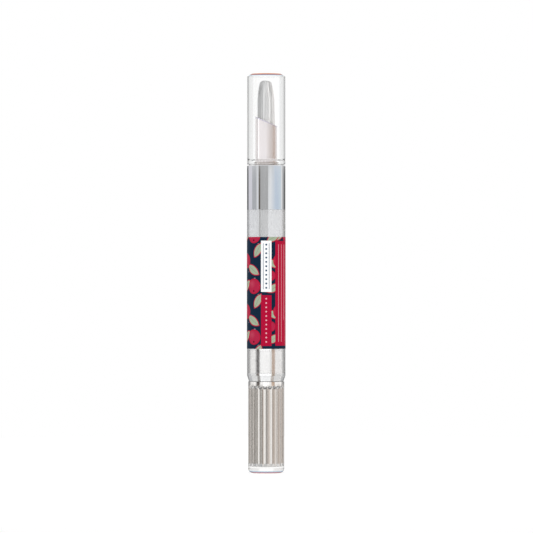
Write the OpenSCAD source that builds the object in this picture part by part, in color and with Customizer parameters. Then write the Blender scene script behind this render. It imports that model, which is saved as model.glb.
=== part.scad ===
// Twist-up nail oil pen: pull-off clear cap, brush in a slanted nib, polished collar,
// wrapped barrel with a piston reservoir, and a clear knob round a fluted core.
// Millimetres, +Z up, origin at the middle of the knob's foot.

/* [Overall] */
// Diameter of the cap, the collar and the barrel
body_d = 13; // [12:0.1:15]
// Length of the twist knob
knob_h = 31.1; // [28:0.1:36]
// Length of the barrel tube from its tail to the collar
barrel_h = 58.1; // [54:0.1:66]
// Length of the collar that shows between barrel and cap
collar_h = 15.05; // [14:0.05:18]
// Length of the cap that shows above the collar
cap_h = 31.25; // [31:0.05:36]

/* [Cap] */
// Thickness of the cap's closed end
cap_end_t = 1.2; // [0.8:0.05:1.6]
// Bevel of the closed end, across
cap_bevel_w = 1.5; // [0.8:0.05:2]
// Bevel of the closed end, along the pen
cap_bevel_h = 1.05; // [0.6:0.05:1.6]
// Height of the band below the cap's V groove
cap_band_h = 1.5; // [1:0.05:1.8]
// Height of the band's lower edge above the collar
cap_band_lift = 0.35; // [0.2:0.05:0.6]
// Rounding of that edge
cap_band_r = 0.35; // [0.2:0.05:0.6]
// Depth of the V groove above the band
cap_groove_t = 0.3; // [0.15:0.05:0.45]
// Length of the cap's spigot inside the collar
cap_spigot_h = 10.4; // [6:0.1:10.6]
// Wall of the spigot, which sets the bore of the whole cap
cap_spigot_wall = 0.55; // [0.45:0.05:0.8]

/* [Collar] */
// Wall of the collar round the spigot
collar_wall = 0.65; // [0.55:0.05:0.8]
// Length of the skirt that goes down into the barrel
collar_skirt_h = 10.4; // [8:0.1:12]
// Wall of the skirt
collar_skirt_wall = 0.5; // [0.4:0.05:0.7]
// Depth of the mouth that takes the spigot
collar_mouth_h = 11.65; // [11.5:0.05:12.5]
// Rounding of the collar's upper edge
collar_edge_r = 0.3; // [0.1:0.05:0.5]

/* [Nib] */
// Gap between the flange at the nib's foot and the cap's spigot, on the radius
nib_flange_gap = 1.05; // [0.7:0.05:1.2]
// How far the flange stands out from the nib's tube
nib_flange_w = 0.5; // [0.3:0.05:0.7]
// Wall of the nib's tube
nib_wall = 0.6; // [0.4:0.05:0.8]
// Thickness of that flange
nib_flange_t = 1.15; // [0.8:0.05:1.5]
// Height of the slanted end's high side above the collar
nib_high = 16.65; // [15:0.05:18]
// Height of the slanted end's low side above the collar
nib_low = 13.25; // [11:0.05:14.5]
// Wall of the neck's boss round the nib's stem
neck_boss_wall = 0.68; // [0.5:0.01:0.9]
// Length of that stem
nib_stem_h = 8; // [6:0.1:9]

/* [Brush] */
// Height of the tuft's tip above the collar
tuft_h = 28.95; // [26:0.05:29.2]
// Thickness of the tuft's fused root
tuft_root_t = 1.5; // [1:0.1:2.5]
// Width of one strand
strand_w = 0.2; // [0.14:0.01:0.22]
// Distance between the tuft's rings of strands
strand_pitch = 0.292; // [0.26:0.002:0.3]

/* [Barrel] */
// Wall of the barrel
barrel_wall = 1.2; // [1:0.05:1.4]
// Thickness of the barrel's tail floor
tail_floor_t = 1.2; // [1:0.05:2]
// Length of the tail's taper
tail_taper_h = 1.8; // [1:0.05:2.4]
// How far the tail's taper draws in
tail_taper_w = 0.5; // [0.3:0.05:0.8]
// Thickness of the printed film
label_t = 0.08; // [0.05:0.01:0.15]
// Height of the film's lower edge above the tail
label_lift = 10.9; // [8:0.1:12]
// Height of the printed film
label_h = 37.9; // [34:0.1:38.5]
// Width of the seam at the back
label_seam_w = 0.4; // [0.2:0.05:1]

/* [Knob] */
// How far the knob's side lies inside the barrel's
knob_step = 0.45; // [0.1:0.05:0.6]
// How far the flat that the pen stands on ends inside the knob's side
knob_foot_w = 2.05; // [1.3:0.05:3]
// Rise of the base from the flat to its rim
knob_crown_h = 0.3; // [0.1:0.05:0.5]
// Rounding of the base's rim
knob_edge_r = 0.9; // [0.5:0.05:1.2]
// Thickness of the solid base
knob_base_t = 2.1; // [1.6:0.05:3]
// Height of the plain band above the flutes
knob_band_h = 1.7; // [1.2:0.05:2.4]
// Wall of the knob round its socket, above the flutes
knob_socket_wall = 0.9; // [0.7:0.05:1.1]
// Wall of the knob at the lands between the core's flutes
flute_wall = 1.65; // [1.4:0.05:1.9]
// Depth of the flutes, whose hollows the knob's bore fills
flute_depth = 0.2; // [0.12:0.01:0.3]
// Width of one flute, as a share of the way from flute to flute
flute_share = 0.94; // [0.8:0.01:0.96]
// Number of flutes round the core
flute_count = 18; // [14:1:20]
// Turn of the first flute from the front
flute_phase = 15; // [0:1:19]

/* [Drive] */
// Height of the core's lower end above the floor of the knob's bore
sleeve_lift = 0.1; // [0.05:0.05:1]
// Radius of the core's neck in the barrel's tail, as a share of the body's
sleeve_share = 0.6; // [0.56:0.01:0.64]
// Gap between the sleeve's flange and the barrel's bore, on the radius
sleeve_flange_gap = 0.4; // [0.2:0.05:0.6]
// Thickness of that flange
sleeve_flange_t = 1; // [0.8:0.05:1.4]
// Radius of the lead screw, as a share of the body's
screw_share = 0.308; // [0.28:0.002:0.32]
// Wall of the sleeve's hub round the lead screw
sleeve_hub_wall = 0.6; // [0.5:0.02:0.9]
// Depth of the screw's two flats
screw_flat_t = 0.55; // [0.4:0.05:0.7]
// How far the head that turns in the piston stands out from the screw
screw_head_w = 0.6; // [0.4:0.05:0.8]
// Thickness of that head
screw_head_t = 1; // [0.8:0.05:1.4]
// Length of the nut's threaded hub
nut_hub_h = 4; // [3:0.1:5]
// Length of the nut's skirt round the click spring
nut_skirt_h = 5; // [4:0.1:6]
// Wall of the nut's skirt at the roots of the click teeth
nut_skirt_wall = 0.38; // [0.3:0.02:0.5]
// Height of the click teeth
click_tooth_t = 0.3; // [0.2:0.05:0.4]
// Number of click teeth
click_count = 12; // [8:1:16]
// Thickness of the click spring
spring_t = 1.6; // [1.2:0.1:2]
// Width of the spring's ring and arms
spring_w = 0.4; // [0.3:0.05:0.45]
// Length of the piston
piston_h = 6.5; // [5.5:0.1:8]
// Length of each piston lip
piston_lip_h = 1.3; // [1:0.1:1.8]
// Inner diameter of the feed tube
feed_bore_d = 1; // [0.8:0.05:1.2]
// Wall of the feed tube
feed_wall = 0.35; // [0.25:0.05:0.45]
// Section of the neck's seal ring
seal_d = 0.95; // [0.7:0.05:1.2]

/* [Clearances] */
// Gap between pieces pressed together, on the radius
press_gap = 0.02; // [0.01:0.01:0.04]
// Running gap between turning or sliding pieces, on the radius
run_gap = 0.08; // [0.05:0.01:0.1]
// Gap between faces that turn over each other
face_gap = 0.1; // [0.05:0.01:0.2]
// Gap between the knob and the barrel's tail
knob_gap = 0.2; // [0.1:0.05:0.4]
// Gap between the cap's spigot and the collar, on the radius
cap_gap = 0.05; // [0.03:0.01:0.08]

/* [Hidden] */
$fn = 96;

// Overrun of every cut
over = 1;
// Rounding of small moulded edges
soft_r = 0.25;
// Height of the nut's snap bead, and how far it stands out
snap_h = 0.6;
snap_t = 0.15;
// Sides of one strand, and the innermost ring, clear of the feed bore
strand_sides = 3;
strand_first = 2;
// Levels that the strands' ends are spread over, and the height between the lowest and the highest
fray_levels = 8;
fray_h = 2.6;
// Shares of the strands' length at which the tuft draws in more, and of its width that it keeps there
bend_shares = [0, 0.82, 0.93, 1];
width_shares = [1, 0.93, 0.81, 0.64];
// Share of the fray that comes from the ring, the rest from the strand's number
dome_share = 0.7;
// Share of a tooth's pitch that its ramp takes, and of a half turn that a spring arm takes
ramp_share = 0.85;
arm_share = 0.62;
// Share of the hub's width that its flats leave
hub_share = 0.92;

body_r = body_d / 2;
bore_r = body_r - barrel_wall;
tail_z = knob_h + knob_gap;
shoulder_z = tail_z + barrel_h;
collar_z = shoulder_z + collar_h;
top_z = collar_z + cap_h;
skirt_z = shoulder_z - collar_skirt_h;
mouth_z = collar_z - collar_mouth_h;
mouth_r = body_r - collar_wall;
skirt_r = bore_r - press_gap;
neck_r = skirt_r - collar_skirt_wall;
floor_z = tail_z + tail_floor_t;
knob_r = body_r - knob_step;
knob_socket_r = knob_r - knob_socket_wall;
land_r = knob_r - flute_wall;
flute_low_r = land_r - flute_depth;
flute_edge_x = land_r * cos(180 * flute_share / flute_count);
flute_ring_r = (land_r ^ 2 - flute_low_r ^ 2) / (2 * (flute_edge_x - flute_low_r));
flute_r = flute_ring_r - flute_low_r;
sleeve_r = body_r * sleeve_share;
tail_hole_r = sleeve_r + run_gap;
flange_z = floor_z + face_gap;
hub_z = flange_z + sleeve_flange_t;
nut_z = hub_z + face_gap * 2;
nut_web_z = nut_z + nut_skirt_h;
nut_top_z = nut_web_z + nut_hub_h;
nut_r = bore_r - press_gap;
click_root_r = nut_r - nut_skirt_wall;
click_crest_r = click_root_r - click_tooth_t;
spring_tip_r = click_crest_r - face_gap;
screw_r = body_r * screw_share;
hub_r = screw_r + run_gap + sleeve_hub_wall;
spring_ring_r = hub_r + press_gap + spring_w;
hub_h = spring_t + face_gap * 4;
screw_flat_w = 2 * (screw_r - screw_flat_t);
screw_head_r = screw_r + screw_head_w;
piston_z = nut_top_z + knob_gap * 2;
piston_r = bore_r - run_gap;
piston_lock_t = tail_floor_t / 2;
socket_z = piston_z + piston_lock_t;
socket_h = screw_head_t + face_gap * 4;
head_z = socket_z + face_gap * 2;
sleeve_z = knob_base_t + sleeve_lift;
screw_z = sleeve_z + face_gap * 3;
spigot_r = mouth_r - cap_gap;
spigot_z = collar_z - cap_spigot_h;
spigot_bore_r = spigot_r - cap_spigot_wall;
flange_r = spigot_bore_r - nib_flange_gap;
nib_r = flange_r - nib_flange_w;
nib_bore_r = nib_r - nib_wall;
boss_bore_r = flange_r - neck_boss_wall;
stem_r = boss_bore_r - press_gap;
tuft_r = nib_bore_r - run_gap;
feed_r = feed_bore_d / 2 + feed_wall;
feed_hole_r = feed_r + press_gap;
root_z = collar_z + nib_flange_t;
root_r = nib_bore_r - press_gap;
tuft_top_z = collar_z + tuft_h;
strand_z = root_z + tuft_root_t;
strand_rings = floor((tuft_r - strand_w / 2) / strand_pitch);
band_z = collar_z + cap_band_lift;
groove_z = band_z + cap_band_h;
flute_z = knob_base_t;
flute_top_z = knob_h - knob_band_h;

// A ring of rectangular section from z = low to z = high
module band(outer_r, inner_r, low, high) {
    translate([0, 0, low])
        difference() {
            cylinder(r = outer_r, h = high - low);
            translate([0, 0, -over])
                cylinder(r = inner_r, h = high - low + 2 * over);
        }
}

// A plain bore from z = low to z = high
module bore(r, low, high) {
    translate([0, 0, low])
        cylinder(r = r, h = high - low);
}

// The corner of a square of side r that a rounding of radius r cuts away
module corner(r) {
    difference() {
        square(r);
        circle(r = r);
    }
}

// Section of a round bar with two flats, grown by gap
module flatted(r, flat_w, gap) {
    intersection() {
        circle(r = r + gap);
        square([2 * (r + gap + over), flat_w + 2 * gap], center = true);
    }
}

module barrel_tube() {
    color([0.9, 0.92, 0.93, 0.5])
        difference() {
            rotate_extrude()
                polygon([
                    [0, tail_z],
                    [body_r - tail_taper_w - soft_r / 2, tail_z],
                    [body_r - tail_taper_w, tail_z + soft_r / 2],
                    [body_r - tail_taper_w * 0.9, tail_z + tail_taper_h * 0.25],
                    [body_r - tail_taper_w * 0.15, tail_z + tail_taper_h * 0.85],
                    [body_r, tail_z + tail_taper_h],
                    [body_r, shoulder_z],
                    [0, shoulder_z]
                ]);
            bore(bore_r, floor_z, shoulder_z + over);
            bore(tail_hole_r, tail_z - over, floor_z + over);
            snap_ring(press_gap);
        }
}

// The bead of the nut, and the groove of the barrel that it snaps into
module snap_ring(gap) {
    rotate_extrude()
        translate([bore_r - snap_h / 2 + snap_t + gap, nut_web_z - snap_h])
            circle(r = snap_h / 2);
}

module label_wrap() {
    color([0.06, 0.13, 0.22])
        translate([0, 0, tail_z + label_lift])
            difference() {
                cylinder(r = body_r + label_t, h = label_h);
                translate([0, 0, -over])
                    cylinder(r = body_r, h = label_h + 2 * over);
                translate([-label_seam_w / 2, 0, -over])
                    cube([label_seam_w, body_r + label_t + over, label_h + 2 * over]);
            }
}

// Ramped click teeth, pointing inward
module click_teeth() {
    pitch = 360 / click_count;
    polygon([
        for (i = [0 : click_count - 1], s = [0, 1])
            let (r = s == 0 ? click_root_r : click_crest_r, a = pitch * (i + s * ramp_share))
                [r * cos(a), r * sin(a)]
    ]);
}

module drive_nut() {
    color([0.93, 0.93, 0.9])
        difference() {
            union() {
                bore(nut_r, nut_z, nut_top_z);
                snap_ring(0);
            }
            translate([0, 0, nut_z - over])
                linear_extrude(height = nut_skirt_h + over)
                    click_teeth();
            bore(screw_r + run_gap, nut_web_z - over, nut_top_z + over);
            translate([0, 0, nut_top_z - soft_r])
                cylinder(r1 = screw_r, r2 = screw_r + 2 * soft_r, h = 2 * soft_r);
        }
}

module collar_ring() {
    color([0.78, 0.8, 0.83])
        rotate_extrude()
            difference() {
                union() {
                    translate([neck_r, skirt_z])
                        square([skirt_r - neck_r, shoulder_z - skirt_z + over]);
                    translate([neck_r, shoulder_z])
                        square([body_r - neck_r, collar_h]);
                }
                translate([neck_r - over, mouth_z])
                    square([mouth_r - neck_r + over, collar_mouth_h + over]);
                translate([body_r - collar_edge_r, collar_z - collar_edge_r])
                    corner(collar_edge_r + press_gap);
                translate([skirt_r - soft_r, skirt_z + soft_r])
                    mirror([0, 1])
                        corner(soft_r);
            }
}

module neck_plug() {
    plug_r = neck_r - press_gap;
    seal_z = (shoulder_z + skirt_z) / 2;
    color([0.95, 0.95, 0.96])
        difference() {
            union() {
                bore(plug_r, skirt_z, mouth_z + face_gap);
                bore(mouth_r - press_gap, mouth_z, mouth_z + tail_floor_t / 2);
                bore(flange_r, mouth_z, collar_z);
            }
            bore(boss_bore_r, collar_z - nib_stem_h - face_gap, collar_z + over);
            bore(feed_hole_r, skirt_z - over, collar_z);
            translate([0, 0, skirt_z - soft_r])
                cylinder(r1 = plug_r - soft_r, r2 = feed_hole_r, h = seal_z - skirt_z - seal_d);
            rotate_extrude()
                translate([plug_r - seal_d, seal_z - seal_d / 2 - press_gap])
                    square([seal_d + over, seal_d + 2 * press_gap]);
        }
}

module neck_o_ring() {
    color([0.2, 0.2, 0.22])
        rotate_extrude()
            translate([neck_r - seal_d / 2 - press_gap / 2, (shoulder_z + skirt_z) / 2])
                circle(r = seal_d / 2);
}

module feed_tube() {
    foot_z = (shoulder_z + skirt_z) / 2 - seal_d;
    color([0.85, 0.87, 0.9])
        band(feed_r, feed_bore_d / 2, foot_z, root_z);
}

module nib_sleeve() {
    slant = atan((nib_high - nib_low) / (2 * nib_r));
    color([0.93, 0.88, 0.86, 0.7])
        difference() {
            union() {
                bore(stem_r, collar_z - nib_stem_h, collar_z + over / 2);
                bore(flange_r, collar_z, collar_z + nib_flange_t - soft_r);
                bore(flange_r - soft_r, collar_z, collar_z + nib_flange_t);
                bore(nib_r, collar_z, collar_z + nib_high + over);
            }
            bore(feed_hole_r, collar_z - nib_stem_h - over, root_z + over);
            bore(nib_bore_r, root_z, collar_z + nib_high + 2 * over);
            translate([0, 0, collar_z + (nib_high + nib_low) / 2])
                rotate([0, slant, 0])
                    translate([-body_d, -body_d, 0])
                        cube([2 * body_d, 2 * body_d, nib_high]);
        }
}

// Level of strand i in ring j: inner rings reach higher, and neighbours differ
function fray_level(i, j) =
    floor((fray_levels - 0.01) * (dome_share * (1 - pow((j - strand_first) / (strand_rings - strand_first), 3))
    + (1 - dome_share) * ((i * 5 + j * 3) % 7) / 7));

// Root marks of the strands that end at one level
module strand_marks(level) {
    for (j = [strand_first : strand_rings], i = [0 : 6 * j - 1])
        if (fray_level(i, j) == level)
            rotate(60 * i / j + 17 * j)
                translate([strand_pitch * j, 0])
                    circle(r = strand_w / 2, $fn = strand_sides);
}

module bristles() {
    strand_h = tuft_top_z - strand_z;
    color([0.8, 0.8, 0.8])
        union() {
            band(root_r, feed_bore_d / 2, root_z, strand_z);
            for (level = [0 : fray_levels - 1], k = [0 : 2]) {
                end_share = 1 - fray_h / strand_h * (1 - level / (fray_levels - 1));
                low = bend_shares[k];
                high = min(bend_shares[k + 1], end_share);
                wide = width_shares[k];
                narrow = lookup(high, [[low, wide], [bend_shares[k + 1], width_shares[k + 1]]]);
                if (high > low)
                    translate([0, 0, strand_z + strand_h * low])
                        linear_extrude(height = strand_h * (high - low), scale = narrow / wide)
                            scale(wide)
                                strand_marks(level);
            }
        }
}

module cap_shell() {
    color([0.9, 0.95, 1, 0.35])
        rotate_extrude()
            difference() {
                polygon([
                    [0, spigot_z],
                    [spigot_r, spigot_z],
                    [spigot_r, band_z],
                    [body_r, band_z],
                    [body_r, groove_z - cap_groove_t / 2],
                    [body_r - cap_groove_t, groove_z],
                    [body_r, groove_z + cap_groove_t / 2],
                    [body_r, top_z - cap_bevel_h],
                    [body_r - cap_bevel_w, top_z],
                    [0, top_z]
                ]);
                polygon([
                    [-over, spigot_z - over],
                    [spigot_bore_r + over, spigot_z - over],
                    [spigot_bore_r, spigot_z + soft_r],
                    [spigot_bore_r, top_z - cap_end_t - cap_bevel_h / 2],
                    [spigot_bore_r - cap_bevel_w / 2, top_z - cap_end_t],
                    [-over, top_z - cap_end_t]
                ]);
                translate([body_r - cap_band_r, band_z + cap_band_r])
                    mirror([0, 1])
                        corner(cap_band_r + press_gap);
                translate([-over, spigot_z - 2 * over])
                    square([over, top_z]);
            }
}

// Section of a round core with shallow flutes cut into it, grown by gap
module fluted(gap) {
    difference() {
        circle(r = land_r + gap);
        for (i = [0 : flute_count - 1])
            rotate(flute_phase - 90 + 360 * i / flute_count)
                translate([flute_ring_r, 0])
                    circle(r = flute_r - gap);
    }
}

module knob_shell() {
    color([0.88, 0.9, 0.92, 0.45])
        difference() {
            rotate_extrude()
                union() {
                    polygon([
                        [0, 0],
                        [knob_r - knob_foot_w, 0],
                        [knob_r - knob_edge_r, knob_crown_h],
                        [knob_r - knob_edge_r, knob_crown_h + knob_edge_r],
                        [knob_r, knob_crown_h + knob_edge_r],
                        [knob_r, knob_h - soft_r],
                        [knob_r - soft_r, knob_h],
                        [0, knob_h]
                    ]);
                    translate([knob_r - knob_edge_r, knob_crown_h + knob_edge_r])
                        circle(r = knob_edge_r);
                }
            translate([0, 0, flute_z])
                linear_extrude(height = flute_top_z - flute_z + over)
                    fluted(0);
            bore(knob_socket_r, flute_top_z, knob_h + over);
        }
}

module drive_sleeve() {
    color([0.94, 0.94, 0.92])
        difference() {
            union() {
                translate([0, 0, sleeve_z])
                    linear_extrude(height = flute_top_z - sleeve_z + over)
                        fluted(-press_gap);
                bore(knob_socket_r - press_gap, flute_top_z + press_gap, knob_h);
                bore(sleeve_r, flute_top_z, hub_z);
                bore(bore_r - sleeve_flange_gap, flange_z, hub_z);
                translate([0, 0, flange_z])
                    linear_extrude(height = hub_z - flange_z + hub_h)
                        flatted(hub_r, 2 * hub_r * hub_share, 0);
            }
            translate([0, 0, sleeve_z - over])
                linear_extrude(height = hub_z + hub_h - sleeve_z + 2 * over)
                    flatted(screw_r, screw_flat_w, run_gap);
        }
}

// One arm of the click spring: it leaves the ring, runs round beside it and ends in a pawl
module spring_arm(ring_r, tip_r) {
    steps = 10;
    sweep = 180 * arm_share;
    outer = [
        for (k = [0 : steps])
            let (a = sweep * k / steps, r = ring_r + (tip_r - ring_r) * k / steps)
                [r * cos(a), r * sin(a)]
    ];
    inner = [
        for (k = [steps : -1 : 0])
            let (a = sweep * k / steps, r = ring_r - spring_w + (tip_r - ring_r) * k / steps)
                [r * cos(a), r * sin(a)]
    ];
    polygon(concat(outer, inner));
}

module click_spring() {
    color([0.85, 0.6, 0.2])
        translate([0, 0, nut_z])
            linear_extrude(height = spring_t)
                union() {
                    difference() {
                        circle(r = spring_ring_r);
                        flatted(hub_r, 2 * hub_r * hub_share, press_gap);
                    }
                    for (turn = [0, 180])
                        rotate(turn)
                            spring_arm(spring_ring_r, spring_tip_r);
                }
}

module piston() {
    waist_r = piston_r - piston_lip_h / 3;
    top_z_here = piston_z + piston_h;
    color([0.97, 0.97, 0.97])
        rotate_extrude()
            difference() {
                polygon([
                    [0, piston_z],
                    [waist_r, piston_z],
                    [piston_r, piston_z + soft_r],
                    [piston_r, piston_z + piston_lip_h - soft_r],
                    [waist_r, piston_z + piston_lip_h],
                    [waist_r, top_z_here - piston_lip_h],
                    [piston_r, top_z_here - piston_lip_h + soft_r],
                    [piston_r, top_z_here],
                    [waist_r, top_z_here],
                    [waist_r - soft_r, top_z_here - piston_lip_h / 2],
                    [0, top_z_here - piston_lip_h / 2]
                ]);
                square([screw_r + face_gap * 2, socket_z + over / 10]);
                translate([0, socket_z])
                    square([screw_head_r + face_gap, socket_h]);
            }
}

module lead_screw() {
    color([0.9, 0.9, 0.88])
        union() {
            translate([0, 0, screw_z])
                linear_extrude(height = head_z - screw_z)
                    flatted(screw_r, screw_flat_w, 0);
            bore(screw_head_r, head_z, head_z + screw_head_t);
        }
}

barrel_tube();
label_wrap();
drive_nut();
collar_ring();
neck_plug();
neck_o_ring();
feed_tube();
nib_sleeve();
bristles();
cap_shell();
knob_shell();
drive_sleeve();
click_spring();
piston();
lead_screw();
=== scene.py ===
"""Looks of a twist-up nail oil pen: clear cap over a brush in a slanted nib, polished collar,
milky barrel with a printed film, and a clear knob round a fluted core.
Lengths are in millimetres here and become metres where a mesh is made."""

import math
import random

import bmesh
import bpy
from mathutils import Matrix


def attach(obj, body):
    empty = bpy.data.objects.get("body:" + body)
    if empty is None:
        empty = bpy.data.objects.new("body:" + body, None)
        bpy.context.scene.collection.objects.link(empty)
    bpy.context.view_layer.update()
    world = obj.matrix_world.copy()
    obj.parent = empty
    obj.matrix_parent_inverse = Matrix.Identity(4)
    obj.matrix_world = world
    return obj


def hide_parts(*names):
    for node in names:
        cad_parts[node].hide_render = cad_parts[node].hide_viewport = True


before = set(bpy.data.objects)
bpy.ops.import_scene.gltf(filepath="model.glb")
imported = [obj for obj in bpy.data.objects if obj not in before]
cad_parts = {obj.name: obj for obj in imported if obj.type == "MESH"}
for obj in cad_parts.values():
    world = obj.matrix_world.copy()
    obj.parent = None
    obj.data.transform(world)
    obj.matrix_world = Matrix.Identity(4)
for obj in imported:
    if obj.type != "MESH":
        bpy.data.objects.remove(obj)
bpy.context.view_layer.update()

MM = 0.001
TAU = 2 * math.pi
ROUND = 192  # sides of a turned piece
ROUND_ANGLES = [TAU * k / ROUND for k in range(ROUND)]
SHARP, FINE_SHARP, TUFT_SHARP = 32, 25, 80  # degrees between two faces past which their edge stays sharp

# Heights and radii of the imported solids, repeated from the part's source
TAIL_Z, FLOOR_Z, SKIRT_Z, SHOULDER_Z, COLLAR_Z = 31.3, 32.5, 79.0, 89.4, 104.45
BODY_R, BORE_R = 6.5, 5.3
LABEL_Z0, LABEL_Z1, LABEL_R = 42.2, 80.1, 6.58
SNAP_Z0, SNAP_Z1, SNAP_R = 37.9, 38.5, 5.46
ROOT_Z = 105.6  # top of the nib's flange, and foot of the tuft's root

# The nib's rim is cut on a slant, down towards +X
NIB_R, RIM_HIGH, RIM_LOW = 3.7, COLLAR_Z + 16.65, COLLAR_Z + 13.25
RIM_Z, RIM_SLOPE = (RIM_HIGH + RIM_LOW) / 2, (RIM_HIGH - RIM_LOW) / (2 * NIB_R)

# The bevel at the cap's end, and the radius inside the barrel where it closes round the collar and the nut
BEVEL_Z, CAP_TOP_Z = 134.65, 135.6
SNUG_R = 5.27


# ---------------------------------------------------------------- meshes


def fillet(points):
    """Rounds the corners of a line of (r, z, radius) points and returns (r, z) points."""
    steps = 5
    out = []
    for k, (r, z, radius) in enumerate(points):
        if not radius or k in (0, len(points) - 1):
            out.append((r, z))
            continue
        (ar, az), (br, bz) = points[k - 1][:2], points[k + 1][:2]
        la, lb = math.hypot(ar - r, az - z), math.hypot(br - r, bz - z)
        ua, ub = ((ar - r) / la, (az - z) / la), ((br - r) / lb, (bz - z) / lb)
        angle = math.acos(max(-1, min(1, ua[0] * ub[0] + ua[1] * ub[1])))
        reach = min(radius / math.tan(angle / 2), 0.49 * la, 0.49 * lb)
        p, q = (r + ua[0] * reach, z + ua[1] * reach), (r + ub[0] * reach, z + ub[1] * reach)
        for s in range(steps + 1):
            t = s / steps
            out.append(tuple((1 - t) ** 2 * p[i] + 2 * t * (1 - t) * (r, z)[i] + t * t * q[i] for i in (0, 1)))
    return held(out)


def held(points):
    """Adds a point just inside each end of a long straight, so that its shading stays straight."""
    reach = 0.03
    out = []
    for a, b in zip(points, points[1:]):
        out.append(a)
        length = math.hypot(b[0] - a[0], b[1] - a[1])
        if length > 12 * reach:
            out += [tuple(a[i] + (b[i] - a[i]) * t for i in (0, 1)) for t in (reach / length, 1 - reach / length)]
    return out + [points[-1]]


def skin(rings, loop=False):
    """Vertices and faces over rings of points; a ring of one point is a pole."""
    verts, starts = [], []
    for points in rings:
        starts.append(len(verts))
        verts += points
    faces = []
    for a in range(len(rings) if loop else len(rings) - 1):
        b = (a + 1) % len(rings)
        na, nb = len(rings[a]), len(rings[b])
        for i in range(max(na, nb)):
            j = (i + 1) % max(na, nb)
            ia, ja = starts[a] + i % na, starts[a] + j % na
            ib, jb = starts[b] + i % nb, starts[b] + j % nb
            faces.append([ia] + ([ja] if na > 1 else []) + ([jb] if nb > 1 else []) + [ib])
    return verts, faces


def outline(radii, angles, z):
    """Points at one height, each at its own radius and angle."""
    return [(r * math.cos(a), r * math.sin(a), z) for r, a in zip(radii, angles)]


def ring(r, z, angles=ROUND_ANGLES):
    """A round ring of points, or a pole where the radius is nought."""
    return outline([r] * len(angles), angles, z) if r > 1e-6 else [(0.0, 0.0, z)]


def flatted(r, flat, angle):
    """The radius at an angle of a round section with two flats."""
    return min(r, flat / max(1e-6, abs(math.sin(angle))))


def mesh_object(name, verts, faces, material):
    """An object in the scene, from vertices in millimetres."""
    mesh = bpy.data.meshes.new(name)
    mesh.from_pydata([(x * MM, y * MM, z * MM) for x, y, z in verts], [], faces)
    mesh.materials.append(material)
    obj = bpy.data.objects.new(name, mesh)
    bpy.context.collection.objects.link(obj)
    return obj


def piece(name, verts, faces, material, body, nodes=(), sharp=SHARP):
    """A smooth object in the frame's place, riding on a body and standing for CAD nodes."""
    obj = mesh_object(name, verts, faces, material)
    mesh = obj.data
    bm = bmesh.new()
    bm.from_mesh(mesh)
    bmesh.ops.recalc_face_normals(bm, faces=bm.faces)
    bm.to_mesh(mesh)
    bm.free()
    mesh.polygons.foreach_set("use_smooth", [True] * len(mesh.polygons))
    mesh.set_sharp_from_angle(angle=math.radians(sharp))
    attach(obj, body)
    if nodes:
        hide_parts(*nodes)
    return obj


def turned(name, profile, material, body, nodes=(), loop=False):
    """A piece turned from a line of (r, z, radius) points."""
    verts, faces = skin([ring(r, z) for r, z in fillet(profile)], loop)
    return piece(name, verts, faces, material, body, nodes)


# ---------------------------------------------------------------- materials

MIX_SHARE, MIX_A, MIX_B, MIX_OUT = 0, 6, 7, 2  # the sockets of a Mix node that serve colours


def rgba(colour):
    """A colour or a grey with its alpha; a socket stays as it is."""
    if isinstance(colour, (int, float)):
        colour = (colour,) * 3
    return (*colour, 1.0) if isinstance(colour, tuple) else colour


def scaled(values, factor):
    return tuple(v * factor for v in values)


class Nodes:
    """Shorthand for a node tree, where a value may be a socket, a number or a colour."""

    def __init__(self, tree):
        self.tree = tree
        tree.nodes.clear()

    def add(self, kind, **props):
        node = self.tree.nodes.new(kind)
        for key, value in props.items():
            setattr(node, key, value)
        return node

    def join(self, source, target):
        if hasattr(source, "is_output"):
            self.tree.links.new(source, target)
        else:
            target.default_value = source

    def math(self, operation, *values):
        node = self.add("ShaderNodeMath", operation=operation)
        for socket, value in zip(node.inputs, values):
            self.join(value, socket)
        return node.outputs[0]

    def plus(self, a, b):
        return self.math("ADD", a, b)

    def minus(self, a, b):
        return self.math("SUBTRACT", a, b)

    def times(self, a, b):
        return self.math("MULTIPLY", a, b)

    def hypot(self, a, b):
        return self.math("SQRT", self.plus(self.times(a, a), self.times(b, b)))

    def azimuth(self, x, y):
        """Radians from the front towards +X."""
        return self.math("ARCTAN2", x, self.times(y, -1.0))

    def vector(self, operation, *values):
        node = self.add("ShaderNodeVectorMath", operation=operation)
        for socket, value in zip(node.inputs, values):
            self.join(value, socket)
        return node.outputs["Value" if operation == "DISTANCE" else 0]

    def scaled(self, vector, scale):
        node = self.add("ShaderNodeVectorMath", operation="SCALE")
        self.join(vector, node.inputs[0])
        self.join(scale, node.inputs["Scale"])
        return node.outputs[0]

    def split(self, vector):
        node = self.add("ShaderNodeSeparateXYZ")
        self.join(vector, node.inputs[0])
        return node.outputs

    def range(self, value, low, high, to_low=0.0, to_high=1.0, **props):
        node = self.add("ShaderNodeMapRange", **props)
        for socket, v in zip(node.inputs, (value, low, high, to_low, to_high)):
            self.join(v, socket)
        return node.outputs[0]

    def mix(self, share, a, b):
        node = self.add("ShaderNodeMix", data_type="RGBA")
        for index, value in ((MIX_SHARE, share), (MIX_A, rgba(a)), (MIX_B, rgba(b))):
            self.join(value, node.inputs[index])
        return node.outputs[MIX_OUT]

    def ramp(self, value, stops):
        """Colours over a value, from stops of a value and a colour."""
        (low, first), (high, last) = stops[0], stops[-1]
        node = self.add("ShaderNodeValToRGB")
        self.join(self.range(value, low, high), node.inputs[0])
        elements = node.color_ramp.elements
        elements[0].color, elements[1].color = rgba(first), rgba(last)
        for place, colour in stops[1:-1]:
            elements.new((place - low) / (high - low)).color = rgba(colour)
        return node.outputs[0]


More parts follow.
